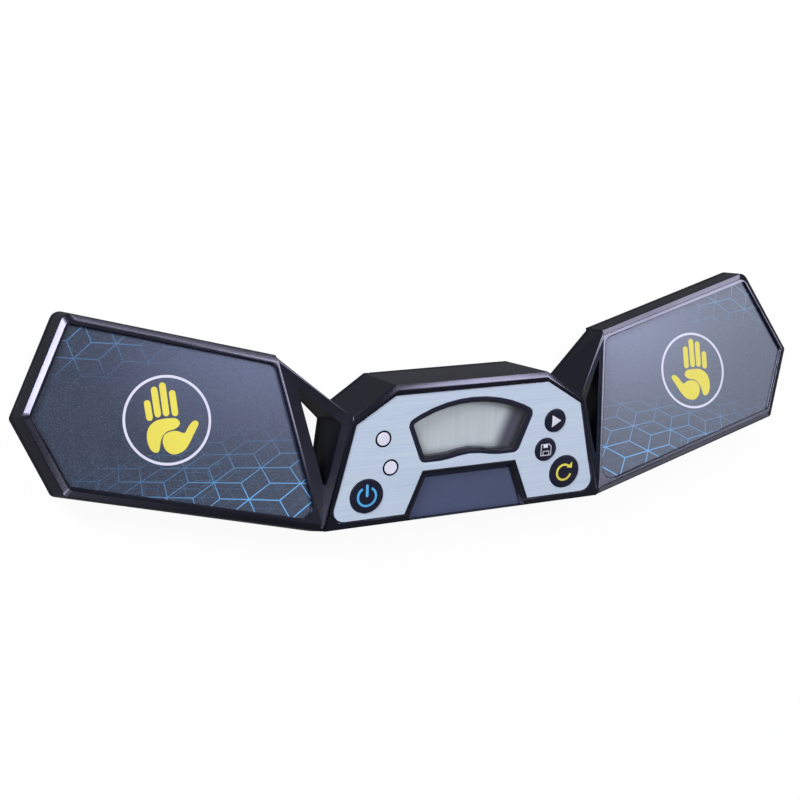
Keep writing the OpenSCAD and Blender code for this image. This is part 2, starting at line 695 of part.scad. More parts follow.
// ---- Touch pads, plates and their leads ----
module touch_pad() {
    translate([0, 0, wing_deck_z + 0.02]) linear_extrude(pad_t - 0.02) polygon(pad_pts);
}
module touch_plate() {
    translate([0, 0, wing_deck_z - plate_t + 0.02]) linear_extrude(plate_t - 0.02) polygon(plate_pts);
}
module right_touch_pad() { color([0.27, 0.31, 0.36]) touch_pad(); }
module left_touch_pad() { color([0.27, 0.31, 0.36]) mirror(left) touch_pad(); }
module right_touch_plate() { color([0.72, 0.60, 0.40]) touch_plate(); }
module left_touch_plate() { color([0.72, 0.60, 0.40]) mirror(left) touch_plate(); }

socket_size = [6, 4, 2.6];
socket_p = [35, 14];
module touch_lead() {
    start = [lead_hole[0], lead_hole[1], wing_deck_z - plate_t];
    z = part_z + 0.9;
    tube([start, start - [0, 0, 2], start - [0, 0, 3.6], [65.4, -30.5, z + 0.5], [62, -32.5, z],
        [56, -33.1, z], [50, -32.7, z], [44, -29.5, z + 0.3], [40.5, -27, z + 0.7],
        [38.05, -25.1, z + 0.9]], lead_r);
}
module right_touch_lead() { color([0.8, 0.1, 0.1]) touch_lead(); }
module left_touch_lead() { color([0.8, 0.1, 0.1]) mirror(left) touch_lead(); }
module lead_sockets() {
    color([0.92, 0.90, 0.82]) both() under_board(socket_p[0], socket_p[1], socket_size);
}

// ---- Batteries ----
module battery_cover() {
    grip_pitch = 2.4;
    color([0.08, 0.08, 0.10]) difference() {
        union() {
            intersection() {
                translate([-cover_x, cover_front_y, base_z]) cube([2 * cover_x, 90, cover_t]);
                case_body();
            }
            translate([-cover_x - tongue_w, cover_front_y, base_z + 0.85])
                cube([2 * (cover_x + tongue_w), cover_back_y - 4 - cover_front_y, cover_t - 1]);
        }
        for (i = [0 : 3]) translate([-9, cover_back_y - 6 - grip_pitch * i, base_z - 0.5]) cube([18, 1.1, 1]);
    }
}
cell_body = cell_len - 1;
contact_t = 0.4;
contact_gap = 0.05;
nub_end = bay_x - contact_t - 2 * contact_gap;
module battery_cells() {
    color([0.55, 0.60, 0.20]) for (i = [0, 1]) translate([0, cell_y + i * cell_pitch, cell_z])
        rotate([0, i == 0 ? 90 : -90, 0]) {
            translate([0, 0, nub_end - cell_len]) cylinder(r = cell_d / 2, h = cell_body);
            translate([0, 0, nub_end - 1.1]) cylinder(r = 1.9, h = 1.1);
        }
}
spring_turns = 4;
spring_wire = 0.35;
module battery_springs() {
    far = nub_end - cell_len - contact_gap - spring_wire;
    near = -bay_x + contact_t + 2 * contact_gap + spring_wire;
    steps = 12;
    path = [for (i = [0 : spring_turns * steps])
        let (t = i / (spring_turns * steps), a = 360 * i / steps, r = 3.9 - 1.9 * t)
        [r * cos(a), r * sin(a), near + (far - near) * t]];
    color([0.8, 0.8, 0.8]) for (i = [0, 1]) translate([0, cell_y + i * cell_pitch, cell_z])
        rotate([0, i == 0 ? 90 : -90, 0]) tube(path, spring_wire);
}
contact_w = 8.6;
module contact(y, w, high) {
    translate([bay_x - contact_t - contact_gap, y - w / 2, cell_z - contact_w / 2])
        cube([contact_t, w, contact_w / 2 + high]);
}
module contact_tab(y) {
    translate([bay_x - contact_t - contact_gap, y - tab_w / 2, cell_z + tab_z])
        cube([contact_t + bay_wall + 1, tab_w, 0.5]);
}
module battery_contacts() {
    both_y = cell_y + cell_pitch / 2;
    color([0.78, 0.76, 0.70]) {
        for (i = [0, 1]) {
            contact(cell_y + i * cell_pitch, contact_w, tab_z + 0.5);
            contact_tab(cell_y + i * cell_pitch);
            mirror(left) contact(cell_y + i * cell_pitch, contact_w, tab_z + 0.5);
        }
        mirror(left) contact(both_y, cell_pitch, 0.7);
    }
}
module battery_leads() {
    x = bay_x + bay_wall + 0.4;
    color([0.15, 0.15, 0.16]) for (i = [0, 1]) {
        y = cell_y + i * cell_pitch;
        top = on_face([30 + i, 22 + 11 * i], -board_depth - board_t - 0.3);
        tube([[x + 0.2, y, cell_z + 3.8], [x + 0.8, y, cell_z + 4.6], (top + [x + 1.4, y, cell_z + 6]) / 2,
            top - [0, 0, 0.8], top], 0.5);
    }
}

// ---- Fasteners and feet ----
module screw(p, head, shank, head_z) {
    post(p, head, head_z, head_z + 1.2);
    post(p, screw_r, head_z + 1.1, head_z + 1.1 + shank);
}
module case_screws() {
    color([0.65, 0.66, 0.68]) both() {
        for (p = case_posts) screw(p, screw_head_r, 5.6, base_z + 0.28);
        for (p = console_posts) screw(p, screw_head_r, 5.6, base_z + 0.28);
    }
}
module board_screws() {
    head_low = board_depth + board_t + 0.02;
    color([0.65, 0.66, 0.68]) for (p = board_posts) face_place(p[0], p[1]) {
        face_bar(2.1, head_low, head_low + 0.8);
        face_bar(screw_r, deck_low + 0.9, head_low + 0.1);
    }
}
module rubber_feet() {
    color([0.18, 0.18, 0.19]) both() for (p = feet_places) post(p, foot_r, 0, base_z + 0.48);
}

upper_shell();
lower_shell();
console_panel();
nameplate();
window_trim();
display_window();
lcd_cell();
lcd_holder();
contact_strip();
main_board();
controller_chip();
board_parts();
status_leds();
status_lenses();
power_button();
reset_button();
play_button();
save_button();
button_switches();
left_touch_pad();
right_touch_pad();
left_touch_plate();
right_touch_plate();
left_touch_lead();
right_touch_lead();
lead_sockets();
battery_cover();
battery_cells();
battery_springs();
battery_contacts();
battery_leads();
case_screws();
board_screws();
rubber_feet();
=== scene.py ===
import bpy, bmesh, json, math
from mathutils import Matrix, Vector
from mathutils.bvhtree import BVHTree


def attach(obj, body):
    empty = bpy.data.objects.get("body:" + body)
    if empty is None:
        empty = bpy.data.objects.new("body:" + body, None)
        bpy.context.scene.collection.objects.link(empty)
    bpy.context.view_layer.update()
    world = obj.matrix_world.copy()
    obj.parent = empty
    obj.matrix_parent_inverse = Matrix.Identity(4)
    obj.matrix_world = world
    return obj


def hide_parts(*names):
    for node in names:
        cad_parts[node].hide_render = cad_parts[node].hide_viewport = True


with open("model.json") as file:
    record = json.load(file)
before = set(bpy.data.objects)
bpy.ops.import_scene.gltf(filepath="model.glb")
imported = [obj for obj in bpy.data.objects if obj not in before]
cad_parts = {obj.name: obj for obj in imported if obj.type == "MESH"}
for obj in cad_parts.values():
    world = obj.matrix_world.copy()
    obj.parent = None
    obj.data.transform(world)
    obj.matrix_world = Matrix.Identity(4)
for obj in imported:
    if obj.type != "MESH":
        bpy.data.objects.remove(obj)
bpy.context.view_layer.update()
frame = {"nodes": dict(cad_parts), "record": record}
mm = 0.001
slotOf = {part["node"]: part["material_slot"] for part in frame["record"]["subparts"]}
print("frame loaded:", len(frame["nodes"]), "nodes")

# the sloping face: its front edge in mm and its tilt in degrees
face = {"frontY": -37.5, "frontZ": 13.5, "tilt": 20}
faceToCase = (Matrix.Translation(Vector((0, face["frontY"], face["frontZ"])) * mm)
              @ Matrix.Rotation(math.radians(face["tilt"]), 4, "X"))

# the buttons on the face: across, up and radius in mm
buttons = {"power_button": (-38.7, 8.3, 6.0), "reset_button": (38.7, 8.3, 6.0),
           "play_button": (33.3, 27.9, 4.2), "save_button": (30.2, 17.5, 4.2)}


def addObject(name, data):
    obj = bpy.data.objects.new(name, data)
    bpy.context.scene.collection.objects.link(obj)
    return obj


def shadeByAngle(obj, angle):
    # smooth all over, with a crease wherever the surface turns by more than the angle
    for poly in obj.data.polygons:
        poly.use_smooth = True
    obj.data.set_sharp_from_angle(angle=math.radians(angle))


def objectFrom(bm, name, material, angle):
    mesh = bpy.data.meshes.new(name)
    bm.to_mesh(mesh)
    bm.free()
    mesh.materials.append(material)
    obj = addObject(name, mesh)
    shadeByAngle(obj, angle)
    return obj


def printedPiece(bm, name, material, body):
    # closes a bmesh into a finished piece that rides on its body
    bmesh.ops.remove_doubles(bm, verts=bm.verts, dist=1e-7)
    bmesh.ops.recalc_face_normals(bm, faces=bm.faces)
    obj = objectFrom(bm, name, material, 40)
    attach(obj, body)


def movedVerts(made):
    # the vertices that an extrude has just made
    return [v for v in made["geom"] if isinstance(v, bmesh.types.BMVert)]


# ways to look out from an edge: lift off the surface in mm, then cones of (lean, number of looks)
outlook = {"lift": 0.04, "cones": ((0.0, 1), (0.6, 6), (1.2, 8), (1.45, 8))}


def seenFromOutside(tree, point, normal):
    # true if some straight way leads from this place to the open
    start = point + normal * outlook["lift"] * mm
    side = normal.orthogonal().normalized()
    other = normal.cross(side)
    for lean, looks in outlook["cones"]:
        for i in range(looks):
            turn = 2 * math.pi * i / looks
            across = side * math.cos(turn) + other * math.sin(turn)
            way = normal * math.cos(lean) + across * math.sin(lean)
            if tree.ray_cast(start, way)[0] is None:
                return True
    return False


# where the upper shell's edges don't take their full radius, in mm on the sloping face
edgeRule = {
    "deepest": -12,  # below this every edge is rounded as usual
    "byButton": 2,  # no rounding this near to a button, under the panel
    "lipDeepest": -3,  # the thin lips end here
    "plateFront": (-25.5, 25.5, -3.4, 0.8),  # no rounding at the nameplate's front
    "thinLips": ((-25.5, 25.5, -3.4, 15.2), (-37, -26.5, 14, 31.5)),  # by the nameplate and the lights
    "thinRadius": 0.06,
}


def within(spot, zone):
    left, right, low, high = zone
    return left < spot.x < right and low < spot.y < high


def edgeRadius(node, point, radius):
    spot = faceToCase.inverted() @ point / mm
    if node != "upper_shell" or spot.z < edgeRule["deepest"]:
        return radius
    if any(math.hypot(spot.x - x, spot.y - y) < r + edgeRule["byButton"]
           for x, y, r in buttons.values()):
        return 0
    if spot.z <= edgeRule["lipDeepest"]:
        return radius
    if within(spot, edgeRule["plateFront"]):
        return 0
    onLip = any(within(spot, lip) for lip in edgeRule["thinLips"])
    return edgeRule["thinRadius"] if onLip else radius


# where a wing's front wall runs into the console's front corner, in mm:
# a point on the wall's line and its slope, and how far across the trim reaches
root = {"x": 53.9, "y": -39.7, "slope": 0.2542, "inner": 48.8, "outer": 56.5,
        "offCut": 0.01, "slack": 0.3, "stands": 0.2}


def trimRoots(bm):
    # brings the console's front corners back to the line of the wing's front wall
    for side in (-1, 1):
        bmesh.ops.bisect_plane(bm, geom=bm.verts[:] + bm.edges[:] + bm.faces[:], dist=1e-7,
                               plane_co=(side * root["inner"] * mm, 0, 0), plane_no=(1, 0, 0))
    for v in bm.verts:
        x, y = abs(v.co.x) / mm, v.co.y / mm
        line = root["y"] + (x - root["x"]) * root["slope"]
        if root["inner"] + root["offCut"] < x < root["outer"] and y < line - root["slack"]:
            v.co.y = (line - root["stands"]) * mm


def edgesToRound(bm, node, look, width):
    # the sharp outer edges that take this width
    bm.normal_update()
    tree = BVHTree.FromBMesh(bm)
    found = []
    for edge in bm.edges:
        middle = (edge.verts[0].co + edge.verts[1].co) / 2
        if len(edge.link_faces) != 2 or edge.calc_length() < look["shortest"] * mm:
            continue
        if edgeRadius(node, middle, look["radius"]) != width:
            continue
        if edge.calc_face_angle(0) < math.radians(look["angle"]) or not edge.is_convex:
            continue
        out = (edge.link_faces[0].normal + edge.link_faces[1].normal).normalized()
        if seenFromOutside(tree, middle, out):
            found.append(edge)
    return found


def softenedCopy(node, look):
    # a copy of a CAD node with its outer edges rounded over
    bm = bmesh.new()
    bm.from_mesh(frame["nodes"][node].data)
    bmesh.ops.remove_doubles(bm, verts=bm.verts, dist=2e-6)
    if node in ("upper_shell", "lower_shell"):
        trimRoots(bm)
    bmesh.ops.dissolve_limit(bm, angle_limit=math.radians(0.3), verts=bm.verts, edges=bm.edges)
    for width in (edgeRule["thinRadius"], look["radius"]):
        edges = edgesToRound(bm, node, look, width)
        if edges:
            bmesh.ops.bevel(bm, geom=edges, offset=width * mm, offset_type="OFFSET", affect="EDGES",
                            segments=look["steps"], profile=0.5, clamp_overlap=False, material=-1)
    obj = objectFrom(bm, look["name"], look["finish"], 28)
    even = obj.modifiers.new("evenNormals", "WEIGHTED_NORMAL")
    even.keep_sharp = True
    even.weight = 80
    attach(obj, look.get("body", "case"))
    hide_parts(node)
    print("softened", look["name"], len(obj.data.polygons), "faces")


def outlineToPlate(points, thick, place, cuts=0, dome=None):
    # a thin printed or cut plate from one closed outline, laid at its place
    bm = bmesh.new()
    dots = [bm.verts.new((x * mm, y * mm, 0)) for x, y in points]
    ends = [bm.edges.new((dots[i - 1], dots[i])) for i in range(len(dots))]
    bmesh.ops.triangle_fill(bm, use_beauty=True, use_dissolve=False, edges=ends, normal=(0, 0, 1))
    if cuts:
        bmesh.ops.subdivide_edges(bm, edges=bm.edges, cuts=cuts, use_grid_fill=True)
    made = bmesh.ops.extrude_face_region(bm, geom=bm.faces[:])
    bmesh.ops.translate(bm, verts=movedVerts(made), vec=(0, 0, thick * mm))
    if dome:
        for v in bm.verts:
            v.co.z += dome(v.co.x / mm, v.co.y / mm) * mm
    bmesh.ops.transform(bm, matrix=place, verts=bm.verts)
    return bm


def joinInto(bm, other):
    spare = bpy.data.meshes.new("spare")
    other.to_mesh(spare)
    other.free()
    bm.from_mesh(spare)
    bpy.data.meshes.remove(spare)


def arcPoints(cx, cy, r, start, end, steps):
    turns = [math.radians(start + (end - start) * i / steps) for i in range(steps + 1)]
    return [(cx + r * math.cos(turn), cy + r * math.sin(turn)) for turn in turns]


def barOutline(a, b, width, steps=8):
    # a bar with round ends
    turn = math.degrees(math.atan2(b[1] - a[1], b[0] - a[0]))
    return (arcPoints(b[0], b[1], width / 2, turn - 90, turn + 90, steps)
            + arcPoints(a[0], a[1], width / 2, turn + 90, turn + 270, steps))


def bandOutline(cx, cy, r, width, start, end, steps=36):
    # part of a ring
    return (arcPoints(cx, cy, r + width / 2, start, end, steps)
            + arcPoints(cx, cy, r - width / 2, end, start, steps))


def lineLoop(points, width):
    # a drawn outline, one round-ended bar for each side
    return [barOutline(points[i], points[(i + 1) % len(points)], width, 4) for i in range(len(points))]


def smoothLoop(points, steps=4):
    # a closed curve through the points
    out = []
    count = len(points)
    for i in range(count):
        a, b, c, d = (Vector(points[(i + j) % count]) for j in (-1, 0, 1, 2))
        for s in range(steps):
            t = s / steps
            out.append(tuple(0.5 * (2 * b + (c - a) * t + (2 * a - 5 * b + 4 * c - d) * t * t
                                    + (3 * b - a - 3 * c + d) * t ** 3)))
    return out


def srgb(r, g, b):
    # colours from 0 to 255 to the values that the shader takes
    return tuple(((c / 255 + 0.055) / 1.055) ** 2.4 if c > 10 else c / 255 / 12.92 for c in (r, g, b))


def opaque(value):
    return (*value, 1) if isinstance(value, tuple) and len(value) == 3 else value


class Nodes:
    # one material and short ways to wire its nodes
    def __init__(self, name):
        self.material = bpy.data.materials.new(name)
        self.material.use_nodes = True
        self.tree = self.material.node_tree
        self.tree.nodes.clear()
        self.out = self.add("ShaderNodeOutputMaterial")
        self.place = self.add("ShaderNodeTexCoord").outputs["Object"]

    def add(self, kind, **settings):
        node = self.tree.nodes.new(kind)
        for key, value in settings.items():
            setattr(node, key, value)
        return node

    def put(self, socket, value):
        if isinstance(value, bpy.types.NodeSocket):
            self.tree.links.new(value, socket)
        elif value is not None:
            socket.default_value = value

    def math(self, operation, a, b=None, c=None):
        node = self.add("ShaderNodeMath", operation=operation)
        for socket, value in zip(node.inputs, (a, b, c)):
            self.put(socket, value)
        return node.outputs[0]

    def axes(self):
        node = self.add("ShaderNodeSeparateXYZ")
        self.put(node.inputs[0], self.place)
        return node.outputs

    def stretch(self, scale):
        node = self.add("ShaderNodeMapping")
        self.put(node.inputs["Vector"], self.place)
        node.inputs["Scale"].default_value = scale
        return node.outputs[0]

    def noise(self, scale, detail=3.0, rough=0.6, vector=None):
        node = self.add("ShaderNodeTexNoise")
        self.put(node.inputs["Vector"], vector or self.place)
        node.inputs["Scale"].default_value = scale
        node.inputs["Detail"].default_value = detail
        node.inputs["Roughness"].default_value = rough
        return node.outputs["Fac"]

    def spread(self, value, low, high, toLow=0.0, toHigh=1.0, smooth=False):
        node = self.add("ShaderNodeMapRange", interpolation_type="SMOOTHSTEP" if smooth else "LINEAR")
        self.put(node.inputs["Value"], value)
        for key, number in (("From Min", low), ("From Max", high), ("To Min", toLow), ("To Max", toHigh)):
            node.inputs[key].default_value = number
        return node.outputs[0]

    def blend(self, share, a, b):
        node = self.add("ShaderNodeMix", data_type="RGBA", blend_type="MIX")
        self.put(node.inputs[0], share)
        self.put(node.inputs[6], opaque(a))
        self.put(node.inputs[7], opaque(b))
        return node.outputs[2]

    def bump(self, height, strength, distance):
        node = self.add("ShaderNodeBump")
        self.put(node.inputs["Height"], height)
        node.inputs["Strength"].default_value = strength
        node.inputs["Distance"].default_value = distance
        return node.outputs[0]

    def surface(self, color, rough, normal=None, **sockets):
        shader = self.add("ShaderNodeBsdfPrincipled")
        self.put(shader.inputs["Base Color"], opaque(color))
        self.put(shader.inputs["Roughness"], rough)
        if normal:
            self.put(shader.inputs["Normal"], normal)
        for key, value in sockets.items():
            self.put(shader.inputs[key.replace("_", " ")], value)
        self.put(self.out.inputs["Surface"], shader.outputs[0])
        return self.material


def mouldedPlastic(name, color, rough=0.36, grain=0.5, scale=2600, spec=0.5, shift=0.12,
                   gloss=(1, 1, 1, 1)):
    # a fine moulded grain, and a tone and gloss that drift a little
    n = Nodes(name)
    cloud = n.noise(38, 3)
    darker = tuple(c * (1 - shift) for c in color)
    lighter = tuple(c * (1 + shift) for c in color)
    tone = n.blend(n.spread(cloud, 0.35, 0.65), darker, lighter)
    return n.surface(tone, n.spread(cloud, 0.3, 0.7, rough - 0.04, rough + 0.05),
                     n.bump(n.noise(scale, 2), grain, 0.03 * mm),
                     Specular_IOR_Level=spec, Specular_Tint=gloss)


def plainMetal(name, color, rough=0.3):
    # drawn or rolled metal with streaks along z
    n = Nodes(name)
    lines = n.noise(1, 3, 0.6, n.stretch((900, 900, 60)))
    darker = tuple(c * 0.78 for c in color)
    return n.surface(n.blend(lines, darker, color), n.spread(lines, 0.3, 0.7, rough, rough + 0.14),
                     n.bump(lines, 0.25, 0.02 * mm), Metallic=1.0)


# camera at the photograph's angle: its place in mm, and which ways are right and up
camera = {"place": (-223.9, -9.0, 446.4), "right": (0.9017, -0.1048, 0.4194),
          "up": (0.0858, 0.9943, 0.0639), "lens": 62.96, "sensor": 36}
right = Vector(camera["right"]).normalized()
up = Vector(camera["up"])
up = (up - right * up.dot(right)).normalized()
turned = Matrix((right, up, right.cross(up))).transposed().to_4x4()
camData = bpy.data.cameras.new("photoCamera")
camData.lens = camera["lens"]
camData.sensor_width = camera["sensor"]
camData.clip_start, camData.clip_end = 0.01, 20
cam = addObject("photoCamera", camData)
cam.matrix_world = Matrix.Translation(Vector(camera["place"]) * mm) @ turned
bpy.context.scene.camera = cam
bpy.context.scene.view_settings.view_transform = "Standard"

# soft lamps: the way to each from the middle, and metres and watts
lampColor = (0.96, 0.96, 1.0)
lamps = {
    "keyBackRight": {"way": (0.55, 0.26, 0.79), "far": 0.95, "size": (0.60, 0.35), "watts": 5.6},
    "stripBackLeft": {"way": (-0.68, 0.52, 0.52), "far": 0.80, "size": (0.34, 0.28), "watts": 5.6},
    "stripBack": {"way": (0.39, 0.83, 0.40), "far": 0.90, "size": (0.50, 0.20), "watts": 1.7},
    "fillFrontLeft": {"way": (-0.50, -0.75, 0.50), "far": 1.00, "size": (0.80, 0.40), "watts": 1.0},
    "fillLeft": {"way": (-0.67, -0.48, 0.56), "far": 1.00, "size": (0.22, 0.30), "watts": 1.3},
    "fillRight": {"way": (0.76, -0.60, 0.26), "far": 1.00, "size": (0.40, 0.30), "watts": 0.5},
}
for name, lamp in lamps.items():
    data = bpy.data.lights.new(name, "AREA")
    data.shape = "RECTANGLE"
    data.size, data.size_y = lamp["size"]
    data.energy = lamp["watts"]
    data.color = lampColor
    light = addObject(name, data)
    way = Vector(lamp["way"]).normalized()
    facingIn = way.to_track_quat("Z", "Y").to_matrix().to_4x4()
    light.matrix_world = Matrix.Translation(way * lamp["far"]) @ facingIn

# world: a dim even light on the object, white where the camera looks past it
sky = {"light": (0.90, 0.91, 1.0, 1), "strength": 0.10, "shown": (1, 1, 1, 1)}
world = bpy.data.worlds.new("studioWorld")
bpy.context.scene.world = world
world.use_nodes = True
tree = world.node_tree
tree.nodes.clear()
skyRays = tree.nodes.new("ShaderNodeLightPath")
skySeen = tree.nodes.new("ShaderNodeMath")
skySeen.operation = "MAXIMUM"
dim = tree.nodes.new("ShaderNodeBackground")
dim.inputs["Color"].default_value = sky["light"]
dim.inputs["Strength"].default_value = sky["strength"]
white = tree.nodes.new("ShaderNodeBackground")
white.inputs["Color"].default_value = sky["shown"]
either = tree.nodes.new("ShaderNodeMixShader")
worldOut = tree.nodes.new("ShaderNodeOutputWorld")
for start, end in ((skyRays.outputs["Is Camera Ray"], skySeen.inputs[0]),
                   (skyRays.outputs["Is Transmission Ray"], skySeen.inputs[1]),
                   (skySeen.outputs[0], either.inputs[0]), (dim.outputs[0], either.inputs[1]),
                   (white.outputs[0], either.inputs[2]), (either.outputs[0], worldOut.inputs["Surface"])):
    tree.links.new(start, end)

# floor: white as the camera sees it, dark in the light that it throws back, and faint in gloss
floor = {"half": 6, "drop": 0.05, "dark": (0.05, 0.05, 0.056), "lessDark": (0.06, 0.06, 0.066),
         "pale": (0.95, 0.95, 0.95), "inGloss": 0.06, "glow": 0.94}
floorBm = bmesh.new()
bmesh.ops.create_grid(floorBm, x_segments=1, y_segments=1, size=floor["half"])
bmesh.ops.translate(floorBm, verts=floorBm.verts, vec=(0, 0, -floor["drop"] * mm))  # clear of the feet
floorMesh = bpy.data.meshes.new("studioFloor")
floorBm.to_mesh(floorMesh)
floorBm.free()
studioFloor = addObject("studioFloor", floorMesh)
n = Nodes("paleFloor")
rays = n.add("ShaderNodeLightPath")
seen = n.math("MAXIMUM", rays.outputs["Is Camera Ray"], rays.outputs["Is Transmission Ray"])
shown = n.math("MAXIMUM", seen, n.math("MULTIPLY", rays.outputs["Is Glossy Ray"], floor["inGloss"]))
thrown = n.blend(n.noise(3), floor["dark"], floor["lessDark"])
paint = n.add("ShaderNodeBsdfDiffuse")
n.put(paint.inputs["Color"], n.blend(seen, thrown, floor["pale"]))
glow = n.add("ShaderNodeEmission")
glow.inputs["Color"].default_value = (1, 1, 1, 1)
glow.inputs["Strength"].default_value = 1.0
mix = n.add("ShaderNodeMixShader")
n.put(mix.inputs[0], n.math("MULTIPLY", shown, floor["glow"]))
n.put(mix.inputs[1], paint.outputs[0])
n.put(mix.inputs[2], glow.outputs[0])
n.put(n.out.inputs["Surface"], mix.outputs[0])
floorMesh.materials.append(n.material)
print("camera, lamps and floor made")

# plain finishes
caseTone = (0.0045, 0.0052, 0.0092)
blueGloss = (0.74, 0.73, 1.0, 1)
caseBlack = mouldedPlastic("satinBlackCase", caseTone, 0.22, 0.30, spec=1.0, gloss=blueGloss)
baseBlack = mouldedPlastic("texturedBlackBase", caseTone, 0.38, 0.6, 1500, gloss=blueGloss)
trimNavy = mouldedPlastic("navyWindowTrim", srgb(34, 34, 52), 0.35, 0.2, spec=0.4, gloss=blueGloss)
buttonNavy = mouldedPlastic("navyButtonCap", srgb(24, 25, 42), 0.42, 0.5, 3200, spec=0.4, gloss=blueGloss)
lensWhite = mouldedPlastic("milkyLightLens", srgb(236, 234, 250), 0.3, 0.1)
whitePlastic = mouldedPlastic("whiteHolder", srgb(225, 225, 220), 0.45)
stripPink = mouldedPlastic("pinkSilicone", srgb(205, 150, 165), 0.6)
chipBlack = mouldedPlastic("chipEpoxy", srgb(30, 30, 32), 0.55)
switchBlack = mouldedPlastic("switchBody", srgb(46, 46, 48), 0.5)
ledBody = mouldedPlastic("ledBody", srgb(240, 238, 215), 0.3)
leadRed = mouldedPlastic("redLeadJacket", srgb(190, 30, 30), 0.45)
leadBlack = mouldedPlastic("blackLeadJacket", srgb(35, 35, 38), 0.5)
socketCream = mouldedPlastic("creamSocket", srgb(232, 226, 205), 0.45)
footRubber = mouldedPlastic("footRubber", srgb(42, 42, 45), 0.8, 1.0, 1200, 0.3)
inkWhite = mouldedPlastic("printWhite", srgb(208, 208, 226), 0.5, 0.2, 4000, shift=0.04)
inkYellow = mouldedPlastic("printYellow", srgb(218, 206, 78), 0.5, 0.2, 4000, shift=0.04)
iconBlue = mouldedPlastic("iconBlue", srgb(88, 178, 236), 0.4, 0.1)
iconYellow = mouldedPlastic("iconYellow", srgb(224, 212, 84), 0.4, 0.1)
iconWhite = mouldedPlastic("iconWhite", srgb(232, 234, 246), 0.4, 0.1)
springSteel = plainMetal("springSteel", (0.72, 0.72, 0.74), 0.22)
contactNickel = plainMetal("contactNickel", (0.70, 0.67, 0.60), 0.26)
screwZinc = plainMetal("screwZinc", (0.58, 0.59, 0.62), 0.32)
plateCopper = plainMetal("touchPlateCopper", (0.78, 0.48, 0.28), 0.3)
tinnedParts = plainMetal("tinnedParts", (0.66, 0.62, 0.50), 0.36)

# green board: solder mask with a fine relief of traces under it
boardLook = {"trace": srgb(40, 128, 70), "mask": srgb(22, 92, 48), "cells": 260}
n = Nodes("boardGreen")
traces = n.add("ShaderNodeTexVoronoi", feature="DISTANCE_TO_EDGE")
n.put(traces.inputs["Vector"], n.place)
traces.inputs["Scale"].default_value = boardLook["cells"]
copperUnder = n.spread(traces.outputs[0], 0.02, 0.05)
boardGreen = n.surface(n.blend(copperUnder, boardLook["trace"], boardLook["mask"]), 0.34,
                       n.bump(copperUnder, 0.4, 0.04 * mm))

# battery jacket: dark, with copper-coloured ends from bandStart in mm
cellLook = {"dark": srgb(30, 32, 36), "copper": srgb(176, 120, 60), "bandStart": 11, "bandFull": 11.2}
n = Nodes("cellJacket")
band = n.spread(n.math("ABSOLUTE", n.axes()[0]), cellLook["bandStart"] * mm, cellLook["bandFull"] * mm)
cellJacket = n.surface(n.blend(band, cellLook["dark"], cellLook["copper"]), 0.28,
                       n.bump(n.noise(900), 0.1, 0.02 * mm), Metallic=0.4)

# brushed silver-blue panel: long streaks along the face, finer ones over them, and a wide drift
panelLook = {"light": srgb(226, 243, 255), "dark": srgb(199, 217, 245), "fine": srgb(226, 238, 254),
             "wide": srgb(203, 217, 242), "rough": 0.36, "streaks": (26, 2600, 2600),
             "fineStreaks": (70, 9000, 9000)}
n = Nodes("brushedPanel")
streaks = n.noise(1, 5, 0.7, n.stretch(panelLook["streaks"]))
fineStreaks = n.noise(1, 3, 0.6, n.stretch(panelLook["fineStreaks"]))
tone = n.blend(n.spread(streaks, 0.30, 0.70), panelLook["dark"], panelLook["light"])
tone = n.blend(n.spread(fineStreaks, 0.40, 0.62, 0.0, 0.55), tone, panelLook["fine"])
tone = n.blend(n.spread(n.noise(14, 2), 0.35, 0.7, 0.0, 0.2), tone, panelLook["wide"])
dull = n.spread(streaks, 0.3, 0.7, panelLook["rough"] - 0.06, panelLook["rough"] + 0.1)
brushedPanel = n.surface(tone, dull, n.bump(fineStreaks, 0.35, 0.03 * mm), Metallic=0.2)

# nameplate: bare slate film with a fine grain
plateLook = {"dark": srgb(68, 77, 106), "light": srgb(86, 95, 128), "drift": srgb(66, 74, 102)}
n = Nodes("slateNameplate")
grain = n.noise(5200, 2)
tone = n.blend(n.spread(grain, 0.35, 0.65), plateLook["dark"], plateLook["light"])
tone = n.blend(n.spread(n.noise(60, 2), 0.3, 0.7, 0.0, 0.35), tone, plateLook["drift"])
slateNameplate = n.surface(tone, 0.5, n.bump(grain, 0.6, 0.03 * mm))

# display: grey cell with faint upright bands, and a painted shadow of the recess walls that darkens its
# slanted right end and lower edge;
# in metres, where each part of the painted shadow starts and is full, the right one measured past a
# leaning line
lcdLook = {"dark": srgb(194, 203, 208), "light": srgb(202, 210, 215), "shade": srgb(58, 55, 76),
           "lean": 0.41, "lineAt": 0.0085, "paintedShadowRight": (0.0065, 0.0128), "paintedShadowLow": (-0.0205, -0.0150)}
n = Nodes("lcdGreyGreen")
columns = n.noise(1, 1, 0.5, n.stretch((900, 40, 40)))
tone = n.blend(n.spread(columns, 0.3, 0.7), lcdLook["dark"], lcdLook["light"])
across, deep, _ = n.axes()
# painted shadow: the right end and the lower edge are darkened as if the window's walls shaded the cell
slant = n.math("SUBTRACT", across, n.math("MULTIPLY_ADD", deep, lcdLook["lean"], lcdLook["lineAt"]))
paintedShadowRight = n.spread(slant, *lcdLook["paintedShadowRight"], 0.0, 1.0, True)
paintedShadowLow = n.spread(deep, *lcdLook["paintedShadowLow"], 1.0, 0.0, True)
shade = n.math("MAXIMUM", paintedShadowRight, n.math("MULTIPLY", paintedShadowLow, 0.85))
lcdGrey = n.surface(n.blend(n.math("MULTIPLY", shade, 0.95), tone, lcdLook["shade"]), 0.35,
                    n.bump(n.noise(2200), 0.1, 0.01 * mm))

